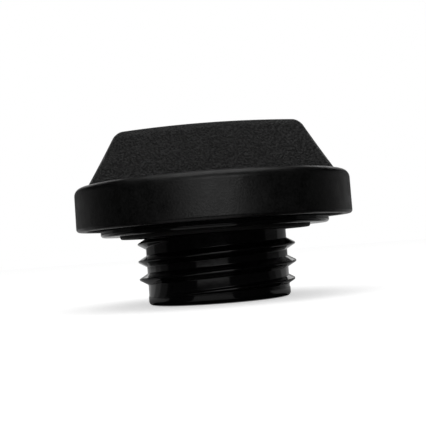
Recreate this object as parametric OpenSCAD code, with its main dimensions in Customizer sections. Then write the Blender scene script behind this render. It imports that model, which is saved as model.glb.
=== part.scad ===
// Oil filler cap: a hollow grip cover that snaps over a threaded insert, with a
// rubber ring under the insert's disc that seals on the rim of the filler neck.
// The origin is the centre of the plug's lower end, +Z runs up the thread's axis
// and the grip bar lies along X. All sizes are in millimetres and degrees.

/* [Plug] */
// Distance from the plug's lower end to the sealing face
plug_reach = 15.2; // [14:0.1:24]
// Wall of the hollow plug, measured in from the thread's root
plug_wall = 2.7; // [1.8:0.1:3.4]
// Rounding of the plug's lower outer edge
plug_edge_r = 0.7; // [0.3:0.1:1.2]
// Chamfer round the mouth of the plug's hollow
mouth_chamfer = 0.4; // [0.2:0.1:0.8]
// Thickness of the roof that closes the hollow
roof_t = 2.4; // [1.6:0.1:3.2]
// Rounding between the hollow's wall and its roof
roof_r = 1.5; // [0.5:0.1:3]
// Diameter of the moulding gate's stub under the roof
gate_d = 3; // [2:0.5:5]
// Height of the moulding gate's stub
gate_h = 0.5; // [0.3:0.1:1]

/* [Thread] */
// Diameter over the thread's crests
crest_d = 35.8; // [34:0.1:38]
// Height of the ridge, from the thread's root to its crest
thread_depth = 1.9; // [1.4:0.05:2.6]
// Rise of the single-start, right-hand thread in one turn
thread_pitch = 4; // [3.5:0.25:5]
// Width of the flat on the crest
crest_flat = 0.35; // [0.2:0.05:0.6]
// Slope of each flank, from the level
flank_angle = 30; // [25:1:32]
// Height of the plain land that leads into the neck
land_h = 2; // [1.6:0.1:3]
// How far the land stands proud of the thread's root
land_step = 0.05; // [0.02:0.01:0.2]
// Rise from the land to the middle of the thread's lower end
thread_lift = 0.35; // [0.3:0.05:1]
// Drop from the sealing face to the middle of the thread's upper end
thread_drop = 0.7; // [0.6:0.1:2]
// Direction of the thread's lower end round the axis, from +X
thread_from = 223; // [0:1:359]
// Turns over which the lower end grows to full height
run_in = 0.9; // [0.3:0.05:1.2]
// Turns over which the upper end fades away
run_out = 0.16; // [0.1:0.02:0.4]

/* [Disc] */
// Width of the disc's lower face outside the ring's groove
disc_lip = 4; // [2.5:0.1:6]
// Thickness of the disc over the sealing ring
disc_t = 2.2; // [1.6:0.1:3]
// How far the disc reaches below the skirt's lower edge
disc_drop = 1.55; // [0.6:0.05:2.4]
// Rounding of the disc's lower edge
disc_edge_r = 0.7; // [0.2:0.1:0.8]
// Wall of the rim that stands on the disc and carries the cover
rim_wall = 2; // [1.4:0.1:2.6]
// Number of ribs between the rim and the key
disc_ribs = 8; // [4:2:12]
// Thickness of each rib on the disc
disc_rib_t = 1.4; // [1:0.1:2]
// How far the disc's ribs stay below the cover's deck
disc_rib_gap = 0.8; // [0.4:0.1:1.5]

/* [Sealing ring] */
// Width of the ring's flat sealing face
ring_face_w = 2.7; // [1.5:0.1:4]
// Thickness of the sealing ring
ring_t = 3.3; // [2.5:0.1:4]
// How far the ring stands proud of the disc
ring_proud = 0.7; // [0.6:0.05:1.6]
// Rounding of the ring's outer edges
ring_edge_r = 0.5; // [0.1:0.05:0.6]
// How far the ring's inner part is set back from the sealing face
ring_relief = 0.9; // [0.6:0.1:1.3]
// Clearance from the thread's crest to the flat sealing face
ring_face_gap = 0.5; // [0.3:0.1:1]
// Clearance between the ring and the neck that it hugs
ring_neck_gap = 0.15; // [0.05:0.05:0.4]
// Clearance between the ring and the outer wall of its groove
ring_side_gap = 0.3; // [0.1:0.05:0.6]

/* [Skirt and deck] */
// Gap between the snap collar and the inside of the skirt
skirt_gap = 1.65; // [1:0.05:5]
// Height from the skirt's lower edge to the top of the deck
skirt_h = 9.9; // [9:0.05:13]
// Wall of the skirt at its lower edge
skirt_wall = 2; // [1.6:0.1:2.4]
// Draft of the skirt's faces
skirt_draft = 0.4; // [0.2:0.1:1.5]
// Thickness of the deck
deck_t = 2.5; // [2:0.1:3]
// Rounding of the deck's outer edge
deck_edge_r = 1.9; // [1:0.1:2.4]
// Rounding of the skirt's lower outer edge
lip_r = 0.75; // [0.2:0.05:1]
// Rounding under the deck, where it meets the skirt
deck_inner_r = 0.8; // [0.3:0.1:1.2]

/* [Snap collar] */
// Wall of the collar that grips the insert's rim
collar_wall = 1.5; // [1.2:0.1:1.8]
// Length of the collar below the deck
collar_h = 5.4; // [4.6:0.1:6]
// Clearance between the collar and the rim
collar_fit = 0.2; // [0.1:0.05:0.3]
// Height of the snap bead, out from the rim
bead_h = 0.45; // [0.35:0.05:0.6]
// Width of the snap bead at its foot
bead_w = 1.4; // [1:0.1:1.8]
// Depth of the snap bead's middle below the deck
bead_depth = 3; // [2:0.1:3.4]
// Clearance between the bead and its groove
bead_fit = 0.15; // [0.1:0.05:0.3]

/* [Grip] */
// Width of deck left outside each end of the grip bar
grip_margin = 3; // [2:0.1:6]
// Width of the grip bar where it meets the deck
grip_w = 22; // [20:0.2:26]
// Height of the grip bar above the deck, at its middle
grip_h = 12.4; // [10:0.2:15]
// Slope of the bar's round ends, from upright
end_slope = 29.5; // [20:0.5:32]
// Draft of the bar's flat sides, from upright
side_slope = 12; // [8:0.5:16]
// Fall of the bar's crowned top from its middle to its ends
grip_crown = 0.85; // [0.2:0.05:1.4]
// Rounding of the bar's top edge
grip_edge_r = 2.1; // [1.2:0.1:2.4]
// Rounding of the upright edges between the sides and the ends
grip_corner_r = 2.2; // [2:0.1:3]
// Rounding at the foot of the bar
grip_foot_r = 0.8; // [0.4:0.1:1]
// Wall of the hollow bar
grip_wall = 2.2; // [1.6:0.1:2.6]

/* [Drive] */
// Clear length between the two cross ribs that drive the key
rib_span = 24; // [20:0.5:26]
// Thickness of the cross ribs and of the webs behind them
rib_t = 1.6; // [1.2:0.1:2]
// How far the key reaches above the underside of the deck
key_rise = 5; // [3:0.1:6]
// Wall of the hollow key
key_wall = 1.6; // [1.2:0.1:2.2]
// Clearance between the key and the cover
key_fit = 0.2; // [0.1:0.05:0.4]

/* [Hidden] */
// Smoothness of round surfaces
$fn = 96;
// Depth by which joined shapes sink into each other
merge = 0.6;
// Length by which a cutter passes the face that it cuts
past = 1;
// Segments in one turn of the thread
turn_steps = 48;
// Height on the thread's root from which its ends rise
dive = -0.12;
// Points along the round end, the corner and the flat side of a quarter of the bar
end_steps = 5;
corner_steps = 5;
side_steps = 4;
quarter_steps = end_steps + corner_steps + side_steps;

// Heights of the seats, from the plug's lower end
disc_z = plug_reach + ring_proud;
groove_z = plug_reach + ring_t;
web_z = groove_z + disc_t;
roof_z = web_z - roof_t;
skirt_z = disc_z + disc_drop;
deck_z = skirt_z + skirt_h;
under_z = deck_z - deck_t;
bead_z = under_z - bead_depth;
key_z = under_z + key_rise;
cavity_z = deck_z + grip_h - grip_crown - grip_wall;

// Radii that two pieces share
crest_r = crest_d / 2;
root_r = crest_r - thread_depth;
land_r = root_r + land_step;
bore_r = root_r - plug_wall;
face_r = crest_r + ring_face_gap;
ring_r = face_r + ring_face_w + ring_edge_r;
groove_r = ring_r + ring_side_gap;
disc_r = groove_r + disc_lip;
rim_r = disc_r - rim_wall;
collar_r = disc_r + collar_fit;
skirt_r = collar_r + collar_wall + skirt_gap + skirt_wall;

// Length of the grip bar where it meets the deck
grip_l = 2 * (skirt_r - grip_margin);

// Half width of the key: the cover's cavity at the key's top, less the clearance
key_half_w = cavity_half(key_z) - key_fit;
key_half_l = rib_span / 2 - key_fit;

// Points of an arc about a centre
function arc(centre, r, from, to, steps = 6) = [
    for (i = [0 : steps])
        let (a = from + (to - from) * i / steps)
            centre + r * [cos(a), sin(a)]
];

// Half width of the hollow inside the bar at a height
function cavity_half(z) =
    grip_w / 2 - (z - deck_z) * tan(side_slope) - grip_wall / cos(side_slope);

// Cover

// Reach of a sloping wall of the bar at height h above the deck, with a rounded
// foot and a rounded top edge
function wall_reach(h, foot, slope) =
    let (
        r = grip_edge_r,
        f = grip_foot_r,
        up = h - (grip_h - r),
        top_centre = foot - (grip_h - r) * tan(slope) - r / cos(slope),
        foot_centre = foot - f * tan(slope) + f / cos(slope)
    )
    h < f * (1 - sin(slope)) ? foot_centre - sqrt(f * f - pow(f - max(h, 0), 2)) :
    up > r * sin(slope) ? top_centre + sqrt(max(0, r * r - up * up)) :
    foot - h * tan(slope);

// One quarter of the bar's outline at height h: round end, corner and flat side
function quarter(h) =
    let (
        end = wall_reach(h, grip_l / 2, end_slope),
        side = wall_reach(h, grip_w / 2, side_slope),
        inset = max(0, grip_w / 2 - h * tan(side_slope) - side),
        c = max(0.3, grip_corner_r - inset),
        cx = sqrt(pow(end - c, 2) - pow(side - c, 2)),
        swing = atan2(side - c, cx)
    )
    concat(
        [
            for (i = [0 : end_steps - 1])
                let (a = swing * i / end_steps)
                    end * [cos(a), sin(a)]
        ],
        [
            for (i = [0 : corner_steps - 1])
                let (a = swing + (90 - swing) * i / corner_steps)
                    [cx + c * cos(a), side - c + c * sin(a)]
        ],
        [for (i = [0 : side_steps]) [cx * (1 - i / side_steps), side]]
    );

// The whole outline at height h, lowered towards its ends by the crown
function bar_ring(h) =
    let (
        q = quarter(h),
        n = quarter_steps,
        fall = grip_crown * max(0, h) / grip_h,
        top_reach = grip_l / 2 - grip_h * tan(end_slope)
    )
    [
        for (j = [0 : 4 * n - 1])
            let (
                part = floor(j / n),
                k = j % n,
                p = part % 2 == 0 ? q[k] : q[n - k],
                x = (part == 1 || part == 2 ? -1 : 1) * p[0],
                y = (part >= 2 ? -1 : 1) * p[1]
            )
                [x, y, deck_z + h - fall * pow(x / top_reach, 2)]
    ];

// Outer skin of the bar: outlines lofted from the deck to the crowned top
module grip_bar() {
    foot_levels = [for (a = [0 : 25 : 75]) grip_foot_r * (1 - cos(a))];
    wall_levels = [for (i = [1 : 3]) (grip_h - grip_edge_r) * i / 3];
    edge_levels = [for (i = [1 : 6]) grip_h - grip_edge_r * (1 - sin(15 * i))];
    levels = concat(foot_levels, wall_levels, edge_levels);
    sunk = [for (p = bar_ring(0)) p - [0, 0, merge]];
    rings = concat([sunk], [for (h = levels) bar_ring(h)]);
    n = 4 * quarter_steps;
    top = len(rings) - 1;
    skin = [
        for (i = [0 : top - 1], j = [0 : n - 1])
            let (a = i * n + j, b = i * n + (j + 1) % n)
                each [[a, a + n, b], [b, a + n, b + n]]
    ];
    // Strips across the bar, so that the crown bends only along its length
    caps = [
        for (j = [0 : n / 2 - 1])
            let (near = (n - j) % n, next = n - j - 1)
                each [
                    if (j > 0) [j, j + 1, near],
                    if (j < n / 2 - 1) [j + 1, next, near],
                    if (j > 0) [top * n + near, top * n + j + 1, top * n + j],
                    if (j < n / 2 - 1) [top * n + near, top * n + next, top * n + j + 1]
                ]
    ];
    polyhedron(points = [for (r = rings) each r], faces = concat(skin, caps), convexity = 4);
}

// Skirt and deck in one turned section
module flange() {
    top_r = skirt_r - skirt_h * tan(skirt_draft);
    inner_low = skirt_r - skirt_wall;
    inner_top = inner_low - (under_z - skirt_z) * tan(skirt_draft);
    rotate_extrude()
        polygon(concat(
            [[0, under_z]],
            arc([inner_top - deck_inner_r, under_z - deck_inner_r], deck_inner_r, 90, 0),
            [[inner_low, skirt_z]],
            arc([skirt_r - lip_r, skirt_z + lip_r], lip_r, -90, 0, 4),
            arc([top_r - deck_edge_r, deck_z - deck_edge_r], deck_edge_r, 0, 90, 8),
            [[0, deck_z]]
        ));
}

// Ring under the deck that snaps over the insert's rim
module collar() {
    low_z = under_z - collar_h;
    outer = collar_r + collar_wall;
    floor_r = disc_r + bead_h + bead_fit;
    half = bead_w / 2 + bead_fit;
    slant = floor_r - collar_r;
    rotate_extrude()
        polygon([
            [collar_r, low_z],
            [outer, low_z],
            [outer, under_z + merge],
            [collar_r, under_z + merge],
            [collar_r, bead_z + half],
            [floor_r, bead_z + half - slant],
            [floor_r, bead_z - half + slant],
            [collar_r, bead_z - half]
        ]);
}

// Space inside the bar: a cone cut by two drafted sides, a wall's thickness in
module bar_space(wall, low, high) {
    reach_low = grip_l / 2 - (low - deck_z) * tan(end_slope) - wall / cos(end_slope);
    reach_high = reach_low - (high - low) * tan(end_slope);
    half_low = grip_w / 2 - (low - deck_z) * tan(side_slope) - wall / cos(side_slope);
    half_high = half_low - (high - low) * tan(side_slope);
    intersection() {
        translate([0, 0, low])
            cylinder(r1 = reach_low, r2 = reach_high, h = high - low);
        rotate([90, 0, 90])
            linear_extrude(height = 4 * reach_low, center = true)
                polygon([[-half_low, low], [half_low, low], [half_high, high], [-half_high, high]]);
    }
}

// Cross ribs that drive the key, and the webs that brace them to the bar's ends
module drive_ribs() {
    tall = grip_h + deck_t;
    intersection() {
        bar_space(grip_wall - merge, under_z, cavity_z + merge);
        for (turn = [0, 180])
            rotate(turn) {
                translate([rib_span / 2, -grip_w, under_z])
                    cube([rib_t, 2 * grip_w, tall]);
                translate([rib_span / 2 + rib_t / 2, -rib_t / 2, under_z])
                    cube([grip_l, rib_t, tall]);
            }
    }
}

module grip_cover() {
    color([0.12, 0.12, 0.12])
        union() {
            difference() {
                union() {
                    flange();
                    grip_bar();
                }
                bar_space(grip_wall, under_z - past, cavity_z);
            }
            collar();
            drive_ribs();
        }
}

// Insert

// Share of full height at a number of turns from the lower end and the upper end
function thread_growth(from_low, from_high) =
    min(
        from_low >= run_in ? 1 : 1 - pow(1 - from_low / run_in, 2.5),
        from_high >= run_out ? 1 : from_high / run_out
    );

// The thread's ridge: one section swept up the helix, sunk into the plug's wall
module thread_ridge() {
    low = land_h + thread_lift;
    turns = (plug_reach - thread_drop - low) / thread_pitch;
    steps = ceil(turns * turn_steps);
    full = crest_r - root_r;
    points = [
        for (i = [0 : steps])
            let (
                t = turns * i / steps,
                a = thread_from + 360 * t,
                z = low + thread_pitch * t,
                h = dive + (full - dive) * thread_growth(t, turns - t),
                foot = crest_flat / 2 + (h + merge) * tan(flank_angle),
                inner = root_r - merge,
                outer = root_r + h
            )
                each [
                    [inner * cos(a), inner * sin(a), z - foot],
                    [outer * cos(a), outer * sin(a), z - crest_flat / 2],
                    [outer * cos(a), outer * sin(a), z + crest_flat / 2],
                    [inner * cos(a), inner * sin(a), z + foot]
                ]
    ];
    sides = [
        for (i = [0 : steps - 1], k = [0 : 3])
            let (a = 4 * i + k, b = 4 * i + (k + 1) % 4)
                each [[a, b, a + 4], [b, b + 4, a + 4]]
    ];
    last = 4 * steps;
    ends = [[0, 3, 2, 1], [last, last + 1, last + 2, last + 3]];
    polyhedron(points = points, faces = concat(sides, ends), convexity = 8);
}

// Hollow plug, disc, ring groove and rim in one turned section
module plug_and_disc() {
    bore_top = bore_r - roof_z * tan(skirt_draft);
    bead_tip = bead_w / 2 - bead_h;
    rotate_extrude()
        polygon(concat(
            [[0, roof_z]],
            arc([bore_top - roof_r, roof_z - roof_r], roof_r, 90, 0),
            [[bore_r, mouth_chamfer], [bore_r + mouth_chamfer, 0]],
            arc([land_r - plug_edge_r, plug_edge_r], plug_edge_r, -90, 0),
            [[land_r, land_h], [root_r, land_h]],
            [[root_r, groove_z], [groove_r, groove_z], [groove_r, disc_z]],
            arc([disc_r - disc_edge_r, disc_z + disc_edge_r], disc_edge_r, -90, 0, 4),
            [[disc_r, bead_z - bead_w / 2], [disc_r + bead_h, bead_z - bead_tip]],
            [[disc_r + bead_h, bead_z + bead_tip], [disc_r, bead_z + bead_w / 2]],
            [[disc_r, under_z], [rim_r, under_z], [rim_r, web_z], [0, web_z]]
        ));
}

// Hollow box on the disc that turns with the cover's cross ribs
module drive_key() {
    outer = 2 * [key_half_l, key_half_w];
    inner = outer - 2 * [key_wall, key_wall];
    translate([0, 0, web_z - merge])
        linear_extrude(height = key_z - web_z + merge)
            difference() {
                square(outer, center = true);
                square(inner, center = true);
            }
}

// Ribs that brace the disc between the key's corners and the rim
module disc_bracing() {
    from_r = norm([key_half_l, key_half_w]);
    for (i = [0 : disc_ribs - 1])
        rotate(360 * (i + 0.5) / disc_ribs)
            translate([from_r, -disc_rib_t / 2, web_z - merge])
                cube([rim_r + merge - from_r, disc_rib_t, under_z - disc_rib_gap - web_z + merge]);
}

module threaded_insert() {
    color([0.06, 0.06, 0.065])
        union() {
            plug_and_disc();
            thread_ridge();
            drive_key();
            disc_bracing();
            translate([0, 0, roof_z - gate_h])
                cylinder(d = gate_d, h = gate_h + merge);
        }
}

// Rubber ring: a flat sealing face outside the thread, set back over the thread
module sealing_ring() {
    inner = root_r + ring_neck_gap;
    e = ring_edge_r;
    relief_z = plug_reach + ring_relief;
    color([0.17, 0.17, 0.17])
        rotate_extrude()
            polygon(concat(
                [[inner, groove_z], [inner, relief_z], [face_r - ring_relief / 2, relief_z]],
                [[face_r, plug_reach]],
                arc([ring_r - e, plug_reach + e], e, -90, 0, 4),
                arc([ring_r - e, groove_z - e], e, 0, 90, 4)
            ));
}

grip_cover();
threaded_insert();
sealing_ring();
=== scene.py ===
"""Looks of the oil filler cap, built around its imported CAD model.

The cap has three pieces: the grip cover, the threaded insert and the sealing
ring. Each is built again here with finer roundings than its solid has, and
stands for its CAD node. Sizes are in millimetres, as in the model, and a mesh
is turned to metres when it is made. +Z runs up the thread's axis and the grip
bar lies along X.
"""

import logging
import math
from dataclasses import dataclass, field
from enum import Enum
from typing import Any, Sequence

import bmesh
import bpy
import numpy as np
from mathutils import Matrix, Vector


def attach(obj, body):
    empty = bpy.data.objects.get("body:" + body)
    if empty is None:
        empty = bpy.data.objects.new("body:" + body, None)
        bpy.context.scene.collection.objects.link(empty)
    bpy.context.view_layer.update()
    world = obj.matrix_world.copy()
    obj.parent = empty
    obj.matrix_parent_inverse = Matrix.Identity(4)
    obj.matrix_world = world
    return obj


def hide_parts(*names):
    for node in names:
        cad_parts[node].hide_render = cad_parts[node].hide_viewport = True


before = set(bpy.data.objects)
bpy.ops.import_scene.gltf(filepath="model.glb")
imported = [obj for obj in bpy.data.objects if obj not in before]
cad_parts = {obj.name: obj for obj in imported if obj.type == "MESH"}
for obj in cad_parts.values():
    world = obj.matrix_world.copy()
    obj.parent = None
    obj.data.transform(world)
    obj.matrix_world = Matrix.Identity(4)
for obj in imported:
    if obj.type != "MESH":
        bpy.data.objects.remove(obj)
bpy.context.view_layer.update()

LOG = logging.getLogger("cap")
MM = 0.001
# Edges that turn by more than this are shaded sharp
SHARP_ANGLE = math.radians(34)
# Points that are closer than this become one
SAME_POINT = 1e-4 * MM
# Longest straight piece beside a rounding, and its largest share of a side
STRAIGHT_MM, STRAIGHT_SHARE = 0.04, 0.02
# Largest share of a side that one rounding takes
ROUNDING_SHARE = 0.48
# Steps of a rounding, and the radius above which it gets the larger number
LARGE_STEPS, SMALL_STEPS, LARGE_ROUNDING_MM = 10, 4, 0.5


class Join(Enum):
    """How one solid is combined with another."""

    ADD = "UNION"
    TAKE = "DIFFERENCE"
    KEEP = "INTERSECT"


class Slot(Enum):
    """The record's material slots."""

    COVER = "cover_plastic"
    INSERT = "insert_plastic"
    RING = "ring_rubber"


# Meshes


@dataclass(frozen=True)
class Corner:
    """A corner of a turned outline: distance from the axis, height and rounding."""

    r: float
    z: float
    rounding: float = 0.12


def rounded(corners: Sequence[Corner], closed: bool = False) -> np.ndarray:
    """Rounds the corners of an outline.

    A short straight piece follows each end of a rounding, so that the smooth
    shading of the rounding doesn't spread over the flat wall beside it.

    Args:
        corners: The corners in order.
        closed: Whether the last corner joins the first.

    Returns:
        The points of the outline as rows of (r, z), in mm.
    """
    at = [np.array([c.r, c.z], float) for c in corners]
    points: list[np.ndarray] = []
    for i, corner in enumerate(corners):
        if not closed and i in (0, len(corners) - 1):
            points.append(at[i])
            continue
        back = at[i - 1] - at[i]
        ahead = at[(i + 1) % len(at)] - at[i]
        shorter = min(np.linalg.norm(back), np.linalg.norm(ahead))
        reach, straight = ROUNDING_SHARE * shorter, min(STRAIGHT_MM, STRAIGHT_SHARE * shorter)
        back, ahead = back / np.linalg.norm(back), ahead / np.linalg.norm(ahead)
        half = math.acos(float(np.clip(back @ ahead, -1, 1))) / 2
        tangent = min(corner.rounding / math.tan(half), reach)
        r = tangent * math.tan(half)
        inward = (back + ahead) / np.linalg.norm(back + ahead)
        centre = at[i] + inward * r / math.sin(half)
        start = at[i] + back * tangent - centre
        end = at[i] + ahead * tangent - centre
        sweep = math.pi - 2 * half
        steps = LARGE_STEPS if r > LARGE_ROUNDING_MM else SMALL_STEPS
        points.append(centre + start + back * straight)
        for k in range(steps + 1):
            share = k / steps
            weights = math.sin((1 - share) * sweep), math.sin(share * sweep)
            points.append(centre + (start * weights[0] + end * weights[1]) / math.sin(sweep))
        points.append(centre + end + ahead * straight)
    return np.array(points)


def turned(outline: np.ndarray, angles: np.ndarray) -> np.ndarray:
    """Turns an outline about the axis.

    Args:
        outline: Rows of (r, z), in mm.
        angles: The direction of each column of points, in radians.

    Returns:
        One row of 3-D points for each point of the outline.
    """
    r, z = outline[:, :1], outline[:, 1:]
    return np.stack([r * np.cos(angles), r * np.sin(angles), z + 0 * angles], axis=-1)


class Shell:
    """Rows of points that become one closed mesh."""

    def __init__(self) -> None:
        """Starts with no points."""
        self.points: list[np.ndarray] = []
        self.faces: list[list[int]] = []
        self.count = 0

    def grid(self, rows: np.ndarray, wrap: bool = True) -> "Shell":
        """Joins neighbouring rows with quads.

        Args:
            rows: Points in mm, as rows by columns by 3.
            wrap: Whether the last column joins the first.

        Returns:
            This shell.
        """
        height, width = rows.shape[:2]
        ids = self.count + np.arange(height * width).reshape(height, width)
        self.points.append(rows.reshape(-1, 3))
        self.count += height * width
        near = ids if wrap else ids[:, :-1]
        far = np.roll(ids, -1, axis=1) if wrap else ids[:, 1:]
        quads = np.stack([near[:-1], far[:-1], far[1:], near[1:]], axis=-1)
        self.faces.extend(quads.reshape(-1, 4).tolist())
        return self

    def prism(self, low: np.ndarray, high: np.ndarray) -> "Shell":
        """Adds a solid between two outlines that bulge everywhere.

        Args:
            low: The lower outline, as rows of (x, y, z) in mm.
            high: The upper outline, with as many points.

        Returns:
            This shell.
        """
        ends = [np.broadcast_to(ring.mean(0), ring.shape) for ring in (low, high)]
        return self.grid(np.stack([ends[0], low, high, ends[1]]))

    def block(self, low: Sequence[float], high: Sequence[float], turn: float = 0.0) -> "Shell":
        """Adds a block between two corners, turned about the axis.

        Args:
            low: The lowest corner in mm.
            high: The highest corner in mm.
            turn: The turn about the axis, in radians.

        Returns:
            This shell.
        """
        (x0, y0, z0), (x1, y1, z1) = low, high
        c, s = math.cos(turn), math.sin(turn)
        corners = (x0, y0), (x1, y0), (x1, y1), (x0, y1)
        flat = [(x * c - y * s, x * s + y * c) for x, y in corners]
        rings = [np.array([(x, y, z) for x, y in flat]) for z in (z0, z1)]
        return self.prism(rings[0], rings[1])

    def object(self, name: str, flat_only: bool = False) -> bpy.types.Object:
        """Makes the mesh, in metres, with points that coincide made one.

        Args:
            name: The object's name.
            flat_only: Whether each face is cut into triangles, which are flat.

        Returns:
            The new object.
        """
        mesh = bpy.data.meshes.new(name)
        mesh.from_pydata((np.concatenate(self.points) * MM).tolist(), [], self.faces)
        work = bmesh.new()
        work.from_mesh(mesh)
        bmesh.ops.remove_doubles(work, verts=work.verts, dist=SAME_POINT)
        bmesh.ops.dissolve_degenerate(work, dist=SAME_POINT, edges=work.edges)
        if flat_only:
            bmesh.ops.triangulate(work, faces=[f for f in work.faces if len(f.verts) > 3])
        bmesh.ops.recalc_face_normals(work, faces=work.faces)
        work.to_mesh(mesh)
        work.free()
        made = bpy.data.objects.new(name, mesh)
        bpy.context.scene.collection.objects.link(made)
        return made


def combine(body: bpy.types.Object, other: bpy.types.Object, how: Join) -> bpy.types.Object:
    """Combines a solid with another, which is used up.

    Args:
        body: The solid that stays.
        other: The solid that is added, taken away or kept in common.
        how: The way that they are combined.

    Returns:
        The body.
    """
    step = body.modifiers.new("combine", "BOOLEAN")
    step.operation = how.value
    step.solver = "EXACT"
    step.object = other
    bpy.context.view_layer.update()
    shown = body.evaluated_get(bpy.context.evaluated_depsgraph_get())
    made = bpy.data.meshes.new_from_object(shown)
    body.modifiers.clear()
    used = [body.data, other.data]
    body.data = made
    bpy.data.objects.remove(other)
    for mesh in used:
        bpy.data.meshes.remove(mesh)
    return body


def smooth(piece: bpy.types.Object) -> None:
    """Joins points that combining left twice, and shades smooth all but true edges.

    Args:
        piece: The piece, which is changed.
    """
    work = bmesh.new()
    work.from_mesh(piece.data)
    bmesh.ops.remove_doubles(work, verts=work.verts, dist=SAME_POINT)
    bmesh.ops.dissolve_degenerate(work, dist=SAME_POINT, edges=work.edges)
    work.to_mesh(piece.data)
    work.free()
    piece.data.shade_smooth()
    piece.data.set_sharp_from_angle(angle=SHARP_ANGLE)


def open_edges(piece: bpy.types.Object) -> int:
    """Counts the edges that don't lie between exactly two faces.

    Args:
        piece: The piece.

    Returns:
        The number of such edges.
    """
    work = bmesh.new()
    work.from_mesh(piece.data)
    count = sum(not edge.is_manifold for edge in work.edges)
    work.free()
    return count


# Finishes


def linear(code: str) -> tuple[float, float, float, float]:
    """Turns an sRGB hex colour to linear values.

    Args:
        code: The colour, such as #1a2b3c.

    Returns:
        Red, green and blue, and an alpha of 1.
    """
    parts = [int(code[i : i + 2], 16) / 255 for i in (1, 3, 5)]
    red, green, blue = [
        p / 12.92 if p <= 0.04045 else ((p + 0.055) / 1.055) ** 2.4 for p in parts
    ]
    return red, green, blue, 1.0


def add_node(
    tree: bpy.types.NodeTree,
    kind: str,
    inputs: dict[str | int, Any] | None = None,
    **settings: Any,
) -> bpy.types.Node:
    """Adds a node with its settings and links.

    Args:
        tree: The node tree.
        kind: Blender's name of the node's type.
        inputs: For each input, a value or the socket that feeds it.
        **settings: Settings of the node.

    Returns:
        The new node.
    """
    node = tree.nodes.new(kind)
    for name, value in settings.items():
        setattr(node, name, value)
    for name, value in (inputs or {}).items():
        if isinstance(value, bpy.types.NodeSocket):
            tree.links.new(value, node.inputs[name])
        else:
            node.inputs[name].default_value = value
    return node


def noise(
    tree: bpy.types.NodeTree, place: bpy.types.NodeSocket, size_mm: float, detail: float
) -> bpy.types.NodeSocket:
    """Adds a noise.

    Args:
        tree: The node tree.
        place: The socket that gives the place.
        size_mm: The size of one patch.
        detail: How many finer layers are laid over it.

    Returns:
        The socket of the noise.
    """
    inputs = {"Vector": place, "Scale": 1 / (size_mm * MM), "Detail": detail}
    return add_node(tree, "ShaderNodeTexNoise", inputs).outputs["Fac"]


def remap(
    tree: bpy.types.NodeTree,
    value: bpy.types.NodeSocket,
    given: tuple[float, float],
    wanted: tuple[float, float] = (0.0, 1.0),
) -> bpy.types.NodeSocket:
    """Moves a value from one range to another, and holds it there.

    Args:
        tree: The node tree.
        value: The socket that gives the value.
        given: The range that the value is in.
        wanted: The range that it is moved to.

    Returns:
        The socket of the new value.
    """
    inputs = {
        "Value": value,
        "From Min": given[0],
        "From Max": given[1],
        "To Min": wanted[0],
        "To Max": wanted[1],
    }
    return add_node(tree, "ShaderNodeMapRange", inputs).outputs["Result"]


@dataclass(frozen=True)
class MouldedSurface:
    """A moulded surface: two close tones, a fine grain and a slow change of gloss.

    grain_mm and drift_mm are the sizes of one grain and of one patch of gloss.
    grain_spread is how far the grain strays from its middle at full contrast.
    Below satin_below_mm the surface is satin: satin_gloss scales its roughness,
    satin_grain the depth of its grain and satin_tone its colour. The change is
    spread over satin_fade_mm. drift_range is the part of the slow noise that runs
    from rough_low to rough_high.
    """

    name: str
    dark: str
    light: str
    ior: float
    rough_low: float
    rough_high: float
    grain_mm: float
    grain_depth_mm: float
    grain_detail: float
    drift_mm: float
    satin_below_mm: float = -1.0
    satin_gloss: float = 1.0
    satin_grain: float = 1.0
    satin_tone: float = 1.0
    grain_spread: float = 0.5
    satin_fade_mm: float = 0.6
    drift_detail: float = 1.5
    drift_range: tuple[float, float] = (0.2, 0.8)

    def material(self) -> bpy.types.Material:
        """Makes the material."""
        made = bpy.data.materials.new(self.name)
        made.use_nodes = True
        tree = made.node_tree
        tree.nodes.clear()
        place = add_node(tree, "ShaderNodeTexCoord").outputs["Object"]
        spread = (0.5 - self.grain_spread, 0.5 + self.grain_spread)
        grain = remap(tree, noise(tree, place, self.grain_mm, self.grain_detail), spread)
        drift = noise(tree, place, self.drift_mm, self.drift_detail)
        tone = add_node(
            tree,
            "ShaderNodeMix",
            {0: grain, 6: linear(self.dark), 7: linear(self.light)},
            data_type="RGBA",
        ).outputs[2]
        rough = remap(tree, drift, self.drift_range, (self.rough_low, self.rough_high))
        height = add_node(tree, "ShaderNodeSeparateXYZ", {"Vector": place}).outputs["Z"]
        fade = (self.satin_below_mm * MM, (self.satin_below_mm + self.satin_fade_mm) * MM)
        gloss, depth, shade = (
            remap(tree, height, fade, (low, 1.0))
            for low in (self.satin_gloss, self.satin_grain, self.satin_tone)
        )
        tone = add_node(
            tree, "ShaderNodeVectorMath", {0: tone, "Scale": shade}, operation="SCALE"
        ).outputs[0]
        rough = add_node(
            tree, "ShaderNodeMath", {0: rough, 1: gloss}, operation="MULTIPLY"
        ).outputs[0]
        relief = add_node(
            tree,
            "ShaderNodeBump",
            {"Strength": depth, "Distance": self.grain_depth_mm * MM, "Height": grain},
        ).outputs["Normal"]
        plastic = add_node(
            tree,
            "ShaderNodeBsdfPrincipled",
            {"Base Color": tone, "Roughness": rough, "Normal": relief, "IOR": self.ior},
        )
        add_node(tree, "ShaderNodeOutputMaterial", {"Surface": plastic.outputs["BSDF"]})
        return made


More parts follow.
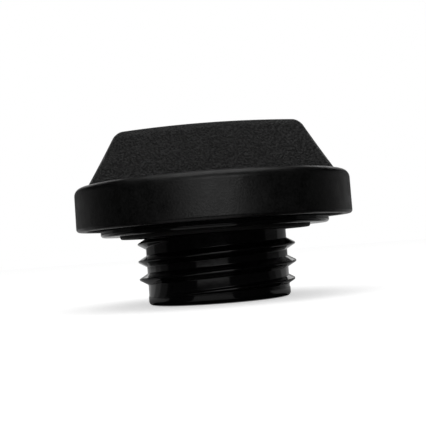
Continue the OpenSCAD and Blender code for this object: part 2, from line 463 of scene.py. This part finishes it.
# Black glass-filled nylon from a spark-eroded mould: a dull, even grain that
# breaks up highlights. The grain of about 0.1 mm is drawn at 0.45 mm to show.
# The deck and the skirt come from a finer, satin part of the mould.
GRAINED_NYLON = MouldedSurface(
    name="glass_filled_nylon_spark_eroded",
    dark="#010101",
    light="#2c2c2c",
    ior=1.53,
    rough_low=0.37,
    rough_high=0.63,
    grain_mm=0.45,
    grain_depth_mm=0.26,
    grain_detail=3.0,
    drift_mm=3.5,
    satin_below_mm=27.35,
    satin_gloss=0.74,
    satin_grain=0.07,
    satin_tone=0.15,
    grain_spread=0.16,
)

# Black nylon from a polished mould: deep and glossy, with the faint waviness
# of moulded skin in its reflections.
POLISHED_NYLON = MouldedSurface(
    name="nylon_polished_mould",
    dark="#030304",
    light="#050505",
    ior=1.53,
    rough_low=0.06,
    rough_high=0.11,
    grain_mm=2.2,
    grain_depth_mm=0.006,
    grain_detail=1.0,
    drift_mm=6.0,
)

# Black nitrile rubber, compression moulded: near black and dusty, with no gloss.
MOULDED_RUBBER = MouldedSurface(
    name="nitrile_rubber_moulded",
    dark="#040404",
    light="#0a0a09",
    ior=1.5,
    rough_low=0.7,
    rough_high=0.85,
    grain_mm=0.3,
    grain_depth_mm=0.012,
    grain_detail=4.0,
    drift_mm=5.0,
)


# Sub-assemblies


@dataclass(frozen=True)
class Seats:
    """Sizes that the pieces share, and the heights and radii that follow."""

    plug_reach: float = 15.2
    crest_r: float = 17.9
    thread_depth: float = 1.9
    ring_face_gap: float = 0.5
    ring_face_w: float = 2.7
    ring_edge_r: float = 0.5
    ring_side_gap: float = 0.3
    ring_t: float = 3.3
    ring_proud: float = 0.7
    disc_lip: float = 4.0
    disc_t: float = 2.2
    disc_drop: float = 1.55
    rim_wall: float = 2.0
    collar_fit: float = 0.2
    collar_wall: float = 1.5
    skirt_gap: float = 1.65
    skirt_wall: float = 2.0
    skirt_h: float = 9.9
    deck_t: float = 2.5
    bead_h: float = 0.45
    bead_w: float = 1.4
    bead_depth: float = 3.0
    bead_fit: float = 0.15
    rib_span: float = 24.0
    key_rise: float = 5.0
    key_fit: float = 0.2
    grip_w: float = 22.0
    grip_wall: float = 2.2
    side_slope: float = math.radians(12)
    merge: float = 0.6
    disc_z: float = field(init=False)
    groove_z: float = field(init=False)
    web_z: float = field(init=False)
    skirt_z: float = field(init=False)
    deck_z: float = field(init=False)
    under_z: float = field(init=False)
    bead_z: float = field(init=False)
    root_r: float = field(init=False)
    face_r: float = field(init=False)
    ring_r: float = field(init=False)
    groove_r: float = field(init=False)
    disc_r: float = field(init=False)
    rim_r: float = field(init=False)
    collar_r: float = field(init=False)
    skirt_r: float = field(init=False)

    def __post_init__(self) -> None:
        """Works out the seats."""
        disc_z = self.plug_reach + self.ring_proud
        groove_z = self.plug_reach + self.ring_t
        under_z = disc_z + self.disc_drop + self.skirt_h - self.deck_t
        face_r = self.crest_r + self.ring_face_gap
        ring_r = face_r + self.ring_face_w + self.ring_edge_r
        disc_r = ring_r + self.ring_side_gap + self.disc_lip
        collar_r = disc_r + self.collar_fit
        found = {
            "disc_z": disc_z,
            "groove_z": groove_z,
            "web_z": groove_z + self.disc_t,
            "skirt_z": disc_z + self.disc_drop,
            "deck_z": under_z + self.deck_t,
            "under_z": under_z,
            "bead_z": under_z - self.bead_depth,
            "root_r": self.crest_r - self.thread_depth,
            "face_r": face_r,
            "ring_r": ring_r,
            "groove_r": ring_r + self.ring_side_gap,
            "disc_r": disc_r,
            "rim_r": disc_r - self.rim_wall,
            "collar_r": collar_r,
            "skirt_r": collar_r + self.collar_wall + self.skirt_gap + self.skirt_wall,
        }
        for name, value in found.items():
            object.__setattr__(self, name, value)

    def cavity_half(self, z: float) -> float:
        """Gives the half width of the hollow in the grip bar.

        Args:
            z: The height, in mm.

        Returns:
            The half width, in mm.
        """
        taper = (z - self.deck_z) * math.tan(self.side_slope)
        return self.grip_w / 2 - taper - self.grip_wall / math.cos(self.side_slope)


@dataclass(frozen=True)
class GripCover:
    """The outer moulding: deck, skirt, hollow grip bar, snap collar and ribs."""

    seats: Seats
    skirt_draft: float = math.radians(0.4)
    deck_edge_r: float = 1.9
    lip_r: float = 0.75
    inner_lip_r: float = 0.15
    deck_inner_r: float = 0.8
    collar_h: float = 5.4
    grip_margin: float = 3.0
    grip_h: float = 12.4
    end_slope: float = math.radians(29.5)
    grip_crown: float = 0.85
    grip_edge_r: float = 2.1
    grip_corner_r: float = 2.2
    least_corner_r: float = 0.3
    grip_foot_r: float = 0.8
    rib_t: float = 1.6
    rib_lift: float = 0.05
    end_steps: int = 22
    corner_steps: int = 14
    side_steps: int = 36
    cap_steps: int = 14
    space_columns: int = 96
    collar_columns: int = 192

    @property
    def half_length(self) -> float:
        """Half the bar's length where it meets the deck."""
        return self.seats.skirt_r - self.grip_margin

    @property
    def cavity_z(self) -> float:
        """Height of the hollow's ceiling."""
        return self.seats.deck_z + self.grip_h - self.grip_crown - self.seats.grip_wall

    def wall_reach(self, h: float, foot: float, slope: float) -> float:
        """Reach of a sloping wall of the bar, with rounded foot and top edge.

        Args:
            h: Height above the deck.
            foot: Reach of the wall at the deck, without the rounding.
            slope: Slope from upright, in radians.

        Returns:
            The reach from the middle of the bar.
        """
        r, f = self.grip_edge_r, self.grip_foot_r
        up = h - (self.grip_h - r)
        if h < f * (1 - math.sin(slope)):
            centre = foot - f * math.tan(slope) + f / math.cos(slope)
            return centre - math.sqrt(f * f - (f - max(h, 0.0)) ** 2)
        if up > r * math.sin(slope):
            centre = foot - (self.grip_h - r) * math.tan(slope) - r / math.cos(slope)
            return centre + math.sqrt(max(0.0, r * r - up * up))
        return foot - h * math.tan(slope)

    def bar_ring(self, h: float) -> np.ndarray:
        """Outline of the bar at height h above the deck.

        Args:
            h: Height above the deck at the bar's middle.

        Returns:
            Points of the outline, lowered towards its ends by the crown.
        """
        half_w = self.seats.grip_w / 2
        end = self.wall_reach(h, self.half_length, self.end_slope)
        side = self.wall_reach(h, half_w, self.seats.side_slope)
        inset = max(0.0, half_w - h * math.tan(self.seats.side_slope) - side)
        c = max(self.least_corner_r, self.grip_corner_r - inset)
        cx = math.sqrt((end - c) ** 2 - (side - c) ** 2)
        swing = math.atan2(side - c, cx)
        a = np.linspace(0, swing, self.end_steps, endpoint=False)
        b = np.linspace(swing, math.pi / 2, self.corner_steps, endpoint=False)
        count = self.side_steps + 1
        x = np.concatenate([end * np.cos(a), cx + c * np.cos(b), np.linspace(cx, 0, count)])
        y = np.concatenate([end * np.sin(a), side - c + c * np.sin(b), np.full(count, side)])
        x = np.concatenate([x, -x[-2::-1], -x[1:], x[-2:0:-1]])
        y = np.concatenate([y, y[-2::-1], -y[1:], -y[-2:0:-1]])
        top_reach = self.half_length - self.grip_h * math.tan(self.end_slope)
        fall = self.grip_crown * h / self.grip_h
        return np.stack([x, y, self.seats.deck_z + h - fall * (x / top_reach) ** 2], axis=-1)

    def outer_skin(self) -> bpy.types.Object:
        """Builds the bar, deck and skirt as one closed skin over a flat underside."""
        s = self.seats
        foot = self.grip_foot_r * (1 - np.cos(np.radians(np.arange(0, 91, 10))))
        wall = np.linspace(self.grip_foot_r, self.grip_h - self.grip_edge_r, 9)[1:-1]
        edge = self.grip_h - self.grip_edge_r * (1 - np.sin(np.radians(np.arange(0, 91, 5))))
        rings = [self.bar_ring(h) for h in (*foot, *wall, *edge)]
        shell = Shell()

        # Strips across the bar's top, so that the crown bends only along its length
        top, half = rings[-1], len(rings[-1]) // 2
        near, far = top[: half + 1], np.concatenate([top[:1], top[:half - 1 : -1]])
        share = np.linspace(0, 1, self.cap_steps + 1)[:, None, None]
        shell.grid(near * (1 - share) + far * share, wrap=False)

        top_r = s.skirt_r - s.skirt_h * math.tan(self.skirt_draft)
        inner_low = s.skirt_r - s.skirt_wall
        inner_top = inner_low - (s.under_z - s.skirt_z) * math.tan(self.skirt_draft)
        outline = rounded(
            [
                Corner(0, s.deck_z),
                Corner(top_r, s.deck_z, self.deck_edge_r),
                Corner(s.skirt_r, s.skirt_z, self.lip_r),
                Corner(inner_low, s.skirt_z, self.inner_lip_r),
                Corner(inner_top, s.under_z, self.deck_inner_r),
                Corner(0, s.under_z),
            ]
        )[1:]
        angles = np.arctan2(rings[0][:, 1], rings[0][:, 0])
        flange = turned(outline, angles)
        share = np.linspace(0, 1, 4)[1:-1, None, None]
        deck = rings[0] * (1 - share) + flange[0] * share
        shell.grid(np.concatenate([np.stack(rings[::-1]), deck, flange]))
        return shell.object("grip_cover_moulding")

    def bar_space(self, wall: float, low: float, high: float) -> bpy.types.Object:
        """Builds the space inside the bar: a cone cut by two drafted sides.

        Args:
            wall: Distance in from the bar's skin.
            low: Height of its floor.
            high: Height of its ceiling.

        Returns:
            The space as a solid.
        """
        s = self.seats
        a = np.linspace(0, 2 * math.pi, self.space_columns, endpoint=False)
        rings = []
        for z in (low, high):
            up = z - s.deck_z
            end, side = self.end_slope, s.side_slope
            reach = self.half_length - up * math.tan(end) - wall / math.cos(end)
            half = s.grip_w / 2 - up * math.tan(side) - wall / math.cos(side)
            y = np.clip(reach * np.sin(a), -half, half)
            rings.append(np.stack([reach * np.cos(a), y, np.full_like(a, z)], axis=-1))
        return Shell().prism(rings[0], rings[1]).object("bar_space", flat_only=True)

    def collar(self) -> bpy.types.Object:
        """Builds the ring under the deck that snaps over the insert's rim."""
        s = self.seats
        floor_r = s.disc_r + s.bead_h + s.bead_fit
        half = s.bead_w / 2 + s.bead_fit
        slant = floor_r - s.collar_r
        outline = rounded(
            [
                Corner(s.collar_r, s.under_z - self.collar_h),
                Corner(s.collar_r + s.collar_wall, s.under_z - self.collar_h),
                Corner(s.collar_r + s.collar_wall, s.under_z + s.merge),
                Corner(s.collar_r, s.under_z + s.merge),
                Corner(s.collar_r, s.bead_z + half),
                Corner(floor_r, s.bead_z + half - slant),
                Corner(floor_r, s.bead_z - half + slant),
                Corner(s.collar_r, s.bead_z - half),
            ],
            closed=True,
        )
        angles = np.linspace(0, 2 * math.pi, self.collar_columns, endpoint=False)
        return Shell().grid(turned(np.vstack([outline, outline[:1]]), angles)).object("collar")

    def build(self) -> bpy.types.Object:
        """Builds and dresses the cover."""
        s = self.seats
        cover = self.outer_skin()
        combine(cover, self.bar_space(s.grip_wall, s.under_z - 1, self.cavity_z), Join.TAKE)
        combine(cover, self.collar(), Join.ADD)
        # The ribs start a little above the deck's underside, so that no faces share a plane
        low, high = s.under_z + self.rib_lift, self.cavity_z + s.merge
        for turn in (0, math.pi):
            x = s.rib_span / 2
            rib = Shell().block((x, -s.grip_w, low), (x + self.rib_t, s.grip_w, high + 1), turn)
            web = Shell().block(
                (x + self.rib_t / 2, -self.rib_t / 2, low),
                (2 * self.half_length, self.rib_t / 2, high + 1),
                turn,
            )
            brace = combine(rib.object("rib"), web.object("web"), Join.ADD)
            combine(brace, self.bar_space(s.grip_wall - s.merge, s.under_z - 1, high), Join.KEEP)
            combine(cover, brace, Join.ADD)
        cover.data.materials.clear()
        cover.data.materials.append(GRAINED_NYLON.material())
        smooth(cover)
        return cover


@dataclass(frozen=True)
class ThreadedInsert:
    """The inner moulding: hollow plug with its thread, disc, rim, key and ribs.

    plug_edge_r and land_step are larger than the solid's 0.7 mm and 0.05 mm. The thread's crest and
    root are rounded, where the solid's are sharp.
    """

    seats: Seats
    plug_wall: float = 2.7
    plug_edge_r: float = 1.0
    mouth_chamfer: float = 0.4
    roof_t: float = 2.4
    roof_r: float = 1.5
    bore_draft: float = math.radians(0.4)
    gate_d: float = 3.0
    gate_h: float = 0.5
    pitch: float = 4.0
    crest_flat: float = 0.35
    flank_angle: float = math.radians(30)
    crest_edge_r: float = 0.28
    root_fillet_r: float = 0.15
    land_h: float = 2.0
    land_step: float = 0.1
    land_edge_r: float = 0.02
    rim_foot_r: float = 0.4
    thread_lift: float = 0.35
    thread_drop: float = 0.7
    thread_from: float = math.radians(223)
    run_in: float = 0.9
    run_in_power: float = 2.5
    run_out: float = 0.16
    dive: float = -0.12
    disc_edge_r: float = 0.7
    disc_ribs: int = 8
    disc_rib_t: float = 1.4
    disc_rib_gap: float = 0.8
    key_wall: float = 1.6
    turn_steps: int = 240

    def growth(self, t: float, turns: float) -> float:
        """Gives the share of its full height that the ridge has at one place.

        Args:
            t: Turns from the ridge's lower end.
            turns: Turns of the whole ridge.

        Returns:
            The share, from 0 to 1.
        """
        if t <= 0 or t >= turns:
            return 0.0
        rise = 1 - max(0.0, 1 - t / self.run_in) ** self.run_in_power
        return min(rise, (turns - t) / self.run_out, 1.0)

    def ridge(self, h: float) -> tuple[np.ndarray, np.ndarray]:
        """Section of one pitch of the thread, across the ridge.

        Args:
            h: Height of the crest over the root.

        Returns:
            Distances along the axis from the crest's middle, and heights.
        """
        foot = self.crest_flat / 2 + h * math.tan(self.flank_angle)
        if h < 1e-3:
            count = len(self.ridge(1.0)[0])
            return np.linspace(-self.pitch / 2, self.pitch / 2, count), np.zeros(count)
        across, heights = rounded(
            [
                Corner(-self.pitch / 2, 0),
                Corner(-foot, 0, self.root_fillet_r),
                Corner(-self.crest_flat / 2, h, self.crest_edge_r),
                Corner(self.crest_flat / 2, h, self.crest_edge_r),
                Corner(foot, 0, self.root_fillet_r),
                Corner(self.pitch / 2, 0),
            ]
        ).T
        return across, heights

    def thread_rows(self) -> np.ndarray:
        """Points of the plug's outside between the land and the groove.

        One strip, a pitch wide, follows the helix. Its upper edge lies on its
        lower edge a turn later, and it is cut off level at both ends.

        Returns:
            Rows of points across the strip, by columns along it.
        """
        s = self.seats
        low = self.land_h + self.thread_lift
        turns = (s.plug_reach - self.thread_drop - low) / self.pitch
        full = s.crest_r - s.root_r
        steps = np.arange(-self.turn_steps, 5 * self.turn_steps + 1)
        columns = []
        for step in steps:
            t = step / self.turn_steps
            a = self.thread_from + 2 * math.pi * t
            share = self.growth(t, turns)
            h = max(0.0, self.dive + (full - self.dive) * share)
            across, heights = self.ridge(h)
            z = np.clip(low + self.pitch * t + across, self.land_h, s.groove_z)
            r = s.root_r + heights
            columns.append(np.stack([r * math.cos(a), r * math.sin(a), z], axis=-1))
        return np.stack(columns, axis=1)

    def furniture(self) -> bpy.types.Object:
        """Builds the hollow key and the ribs that brace the disc, all on the web."""
        s = self.seats
        half_l = s.rib_span / 2 - s.key_fit
        half_w = s.cavity_half(s.under_z + s.key_rise) - s.key_fit
        low, high = s.web_z - s.merge, s.under_z + s.key_rise
        key = Shell().block((-half_l, -half_w, low), (half_l, half_w, high)).object("key")
        in_l, in_w = half_l - self.key_wall, half_w - self.key_wall
        hollow = Shell().block((-in_l, -in_w, low - 1), (in_l, in_w, high + 1)).object("hollow")
        combine(key, hollow, Join.TAKE)
        ribs = Shell()
        from_r = math.hypot(half_l, half_w)
        for i in range(self.disc_ribs):
            ribs.block(
                (from_r, -self.disc_rib_t / 2, low),
                (s.rim_r + s.merge, self.disc_rib_t / 2, s.under_z - self.disc_rib_gap),
                2 * math.pi * (i + 0.5) / self.disc_ribs,
            )
        return combine(key, ribs.object("disc_ribs"), Join.ADD)

    def build(self) -> bpy.types.Object:
        """Builds and dresses the insert."""
        s = self.seats
        roof_z = s.web_z - self.roof_t
        bore_r = s.root_r - self.plug_wall
        land_r = s.root_r + self.land_step
        tip = s.bead_w / 2 - s.bead_h
        below = rounded(
            [
                Corner(0, roof_z - self.gate_h),
                Corner(self.gate_d / 2, roof_z - self.gate_h),
                Corner(self.gate_d / 2, roof_z),
                Corner(bore_r - roof_z * math.tan(self.bore_draft), roof_z, self.roof_r),
                Corner(bore_r, self.mouth_chamfer),
                Corner(bore_r + self.mouth_chamfer, 0),
                Corner(land_r, 0, self.plug_edge_r),
                Corner(land_r, self.land_h, self.land_edge_r),
                Corner(s.root_r, self.land_h),
            ]
        )
        above = rounded(
            [
                Corner(s.root_r, s.groove_z),
                Corner(s.groove_r, s.groove_z),
                Corner(s.groove_r, s.disc_z),
                Corner(s.disc_r, s.disc_z, self.disc_edge_r),
                Corner(s.disc_r, s.bead_z - s.bead_w / 2),
                Corner(s.disc_r + s.bead_h, s.bead_z - tip),
                Corner(s.disc_r + s.bead_h, s.bead_z + tip),
                Corner(s.disc_r, s.bead_z + s.bead_w / 2),
                Corner(s.disc_r, s.under_z),
                Corner(s.rim_r, s.under_z),
                Corner(s.rim_r, s.web_z, self.rim_foot_r),
                Corner(0, s.web_z),
            ]
        )
        angles = self.thread_from + np.linspace(0, 2 * math.pi, self.turn_steps, endpoint=False)
        shell = Shell().grid(turned(below, angles)).grid(turned(above, angles))
        shell.grid(self.thread_rows(), wrap=False)
        insert = combine(shell.object("threaded_insert_moulding"), self.furniture(), Join.ADD)
        insert.data.materials.clear()
        insert.data.materials.append(POLISHED_NYLON.material())
        smooth(insert)
        return insert


@dataclass(frozen=True)
class SealingRing:
    """The rubber ring in the insert's groove, with its flat sealing face."""

    seats: Seats
    relief: float = 0.9
    neck_gap: float = 0.15
    columns: int = 240

    def build(self) -> bpy.types.Object:
        """Builds and dresses the ring."""
        s = self.seats
        inner = s.root_r + self.neck_gap
        outline = rounded(
            [
                Corner(inner, s.groove_z),
                Corner(inner, s.plug_reach + self.relief),
                Corner(s.face_r - self.relief / 2, s.plug_reach + self.relief),
                Corner(s.face_r, s.plug_reach),
                Corner(s.ring_r, s.plug_reach, s.ring_edge_r),
                Corner(s.ring_r, s.groove_z, s.ring_edge_r),
            ],
            closed=True,
        )
        angles = np.linspace(0, 2 * math.pi, self.columns, endpoint=False)
        ring = Shell().grid(turned(np.vstack([outline, outline[:1]]), angles)).object("rubber_ring")
        ring.data.materials.append(MOULDED_RUBBER.material())
        smooth(ring)
        return ring


# Studio


@dataclass(frozen=True)
class Softbox:
    """A soft lamp: place, point that it is aimed at, width and height in metres, watts."""

    name: str
    place: tuple[float, float, float]
    aim: tuple[float, float, float]
    width: float
    height: float
    watts: float

    def build(self) -> None:
        """Adds the lamp to the scene."""
        lamp = bpy.data.lights.new(self.name, "AREA")
        lamp.shape = "RECTANGLE"
        lamp.size, lamp.size_y, lamp.energy = self.width, self.height, self.watts
        stand = bpy.data.objects.new(self.name, lamp)
        stand.location = self.place
        ray = Vector(self.aim) - Vector(self.place)
        stand.rotation_euler = ray.to_track_quat("-Z", "Y").to_euler()
        stand.visible_camera = False
        bpy.context.scene.collection.objects.link(stand)


@dataclass(frozen=True)
class Cloth:
    """A cloth or card that only reflections show, bent round the axis.

    Its outline is rows of distance from the axis and height, in metres, and it
    runs between two directions in degrees from the front, positive to the right.
    """

    name: str
    colour: str
    outline: tuple[tuple[float, float], ...]
    start: float
    end: float
    steps: int = 60

    def build(self) -> None:
        """Hangs the cloth, hidden from the camera, from diffuse light and from shadows."""
        matte = bpy.data.materials.new(self.name)
        matte.use_nodes = True
        tree = matte.node_tree
        tree.nodes.clear()
        pile = add_node(tree, "ShaderNodeBsdfDiffuse", {"Color": linear(self.colour)})
        add_node(tree, "ShaderNodeOutputMaterial", {"Surface": pile.outputs[0]})
        angles = np.radians(np.linspace(self.start, self.end, self.steps) - 90)
        rows = turned(np.array(self.outline) / MM, angles)
        hung = Shell().grid(rows, wrap=False).object(self.name)
        hung.data.materials.append(matte)
        hung.visible_camera = hung.visible_diffuse = hung.visible_shadow = False


# Outlines of the cloths and their ends, as distance from the axis and height in metres
TABLE = ((0.0155, 0.0002), (0.5, 0.0002))
FOOT = ((0.0155, 0.0004), (0.04, 0.0004))
WALL_FOOT, WALL_TOP, WALL_HIGH = (0.5, 0.0), (0.5, 0.18), (0.5, 0.9)
BLACK_CLOTH = "#141414"


@dataclass(frozen=True)
class Studio:
    """Camera, lamps, pale floor, white surroundings, and cloths that darken them.

    The camera looks a little upwards at the cap from the front. Its focal length
    is in pixels of the 426 pixel wide image, and roll is the cap's lean to the left.
    """

    image_px: int = 426
    eye: tuple[float, float, float] = (0.0, -0.21503, 0.0119)
    aim: tuple[float, float, float] = (-0.00019, 0.0, 0.01985)
    focal_px: float = 943.52
    roll: float = math.radians(4.26)
    sensor_mm: float = 36.0
    floor_m: float = 3.0
    floor_drop_mm: float = 0.05
    floor_tone: str = "#f4f4f4"
    floor_lift: float = 0.48
    surround: float = 0.55
    lamps: tuple[Softbox, ...] = (
        Softbox("front_softbox", (-0.01, -0.45, 0.15), (0.0, 0.0, 0.02), 0.76, 0.2, 0.26),
        Softbox("front_strip", (0.035, -0.435, 0.15), (0.0, 0.0, 0.02), 0.26, 0.2, 0.13),
        Softbox("high_left_softbox", (-0.29, -0.34, 0.5), (0.0, 0.0, 0.02), 0.36, 0.6, 0.26),
        Softbox("high_right_softbox", (0.15, -0.42, 0.5), (0.0, 0.0, 0.02), 0.6, 0.6, 0.22),
        Softbox("overhead_strip", (0.02, -0.16, 0.6), (0.0, 0.0, 0.03), 0.5, 0.18, 0.4),
    )
    cloths: tuple[Cloth, ...] = (
        Cloth("black_front_cloth", BLACK_CLOTH, (WALL_FOOT, WALL_TOP), -85, 85),
        Cloth("black_high_cloth", BLACK_CLOTH, (WALL_TOP, WALL_HIGH), -150, 150),
        Cloth("black_back_cloth", BLACK_CLOTH, ((0.5, 0.35), WALL_HIGH), 150, 210, 20),
        Cloth("black_ceiling_cloth", BLACK_CLOTH, (WALL_HIGH, (0.001, 0.9)), -90, 90),
        Cloth("left_wall_dark", "#464646", (WALL_FOOT, WALL_TOP), -118, -85, 8),
        Cloth("left_wall_grey", "#7c7c7c", (WALL_FOOT, WALL_TOP), -160, -118, 10),
        Cloth("right_wall_dark", "#545454", (WALL_FOOT, WALL_TOP), 85, 117, 8),
        Cloth("right_wall_grey", "#8c8c8c", (WALL_FOOT, WALL_TOP), 117, 160, 10),
        Cloth("back_wall_pale", "#c4c4c4", (WALL_FOOT, (0.5, 0.12)), 160, 200, 20),
        Cloth("front_table_dark", "#222222", TABLE, -85, 85),
        Cloth("front_table_near", "#a8a8a8", ((0.018, 0.0004), (0.05, 0.0004)), -33, 16, 12),
        Cloth("front_table_far", "#cccccc", ((0.14, 0.0004), (0.45, 0.0004)), -33, 16, 12),
        Cloth("left_table_1", "#606060", TABLE, -102, -85, 6),
        Cloth("left_table_2", "#989898", TABLE, -118, -102, 6),
        Cloth("left_table_3", "#c8c8c8", TABLE, -138, -118, 8),
        Cloth("left_table_4", "#e0e0e0", TABLE, -180, -138, 14),
        Cloth("right_table_1", "#525252", TABLE, 85, 100, 6),
        Cloth("right_table_2", "#808080", TABLE, 100, 117, 6),
        Cloth("right_table_3", "#b8b8b8", TABLE, 117, 138, 8),
        Cloth("right_table_4", "#dcdcdc", TABLE, 138, 180, 14),
        Cloth("left_table_foot", "#b8b8b8", FOOT, -170, -70, 20),
        Cloth("right_table_foot", "#c8c8c8", FOOT, 70, 170, 20),
    )

    def camera(self) -> None:
        """Creates the camera and makes it the scene's own."""
        lens = bpy.data.cameras.new("camera")
        lens.sensor_width = self.sensor_mm
        lens.lens = self.focal_px / self.image_px * self.sensor_mm
        lens.clip_start = 0.01
        view = bpy.data.objects.new("camera", lens)
        bpy.context.scene.collection.objects.link(view)
        eye = Vector(self.eye)
        ahead = (Vector(self.aim) - eye).normalized()
        right = ahead.cross(Vector((0, 0, 1))).normalized()
        up = right.cross(ahead)
        c, s = math.cos(self.roll), math.sin(self.roll)
        axes = Matrix((right * c - up * s, right * s + up * c, -ahead)).transposed()
        view.matrix_world = Matrix.Translation(eye) @ axes.to_4x4()
        bpy.context.scene.camera = view

    def seen(self, tree: bpy.types.NodeTree) -> bpy.types.NodeSocket:
        """Adds nodes that give 1 for what is seen directly, mirrored or through glass."""
        path = add_node(tree, "ShaderNodeLightPath").outputs
        mirrored = add_node(
            tree,
            "ShaderNodeMath",
            {0: path["Is Glossy Ray"], 1: path["Is Transmission Ray"]},
            operation="MAXIMUM",
        )
        both = add_node(
            tree,
            "ShaderNodeMath",
            {0: path["Is Camera Ray"], 1: mirrored.outputs[0]},
            operation="MAXIMUM",
        )
        return both.outputs[0]

    def surroundings(self) -> None:
        """Makes the world white to look at and a soft grey as a source of light."""
        world = bpy.data.worlds.new("white_surroundings")
        bpy.context.scene.world = world
        world.use_nodes = True
        tree = world.node_tree
        tree.nodes.clear()
        white = linear("#ffffff")
        glow = add_node(tree, "ShaderNodeBackground", {"Color": white, "Strength": self.surround})
        look = add_node(tree, "ShaderNodeBackground", {"Color": white, "Strength": 1.0})
        mixed = add_node(
            tree,
            "ShaderNodeMixShader",
            {0: self.seen(tree), 1: glow.outputs[0], 2: look.outputs[0]},
        )
        add_node(tree, "ShaderNodeOutputWorld", {"Surface": mixed.outputs[0]})

    def floor(self) -> None:
        """Lays the pale floor that takes the cap's shadow, a hair under the plug's end."""
        half, z = self.floor_m / 2 / MM, -self.floor_drop_mm
        rows = [[(-half, y, z), (half, y, z)] for y in (-half, half)]
        ground = Shell().grid(np.array(rows), wrap=False).object("pale_floor")
        paint = bpy.data.materials.new("matte_white_paint")
        paint.use_nodes = True
        tree = paint.node_tree
        tree.nodes.clear()
        matte = add_node(tree, "ShaderNodeBsdfDiffuse", {"Color": linear(self.floor_tone)})
        glow = {"Color": linear("#ffffff"), "Strength": self.floor_lift}
        lift = add_node(tree, "ShaderNodeEmission", glow)
        lifted = add_node(tree, "ShaderNodeAddShader", {0: matte.outputs[0], 1: lift.outputs[0]})
        mixed = add_node(
            tree,
            "ShaderNodeMixShader",
            {0: self.seen(tree), 1: matte.outputs[0], 2: lifted.outputs[0]},
        )
        add_node(tree, "ShaderNodeOutputMaterial", {"Surface": mixed.outputs[0]})
        ground.data.materials.append(paint)

    def build(self) -> None:
        """Sets up the studio, with the camera first."""
        self.camera()
        bpy.context.scene.view_settings.view_transform = "Standard"
        self.surroundings()
        self.floor()
        for stand in (*self.cloths, *self.lamps):
            stand.build()


def main() -> None:
    """Builds the studio and the pieces, and reports each."""
    logging.basicConfig(level=logging.INFO, format="%(name)s: %(message)s")
    Studio().build()
    seats = Seats()
    parts = (
        ("grip_cover", Slot.COVER, GripCover(seats)),
        ("threaded_insert", Slot.INSERT, ThreadedInsert(seats)),
        ("sealing_ring", Slot.RING, SealingRing(seats)),
    )
    for node, slot, part in parts:
        piece = part.build()
        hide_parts(node)
        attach(piece, "root")
        faces = len(piece.data.polygons)
        LOG.info("%s: %d faces, %d open edges", piece.name, faces, open_edges(piece))


if __name__ == "__main__":
    main()
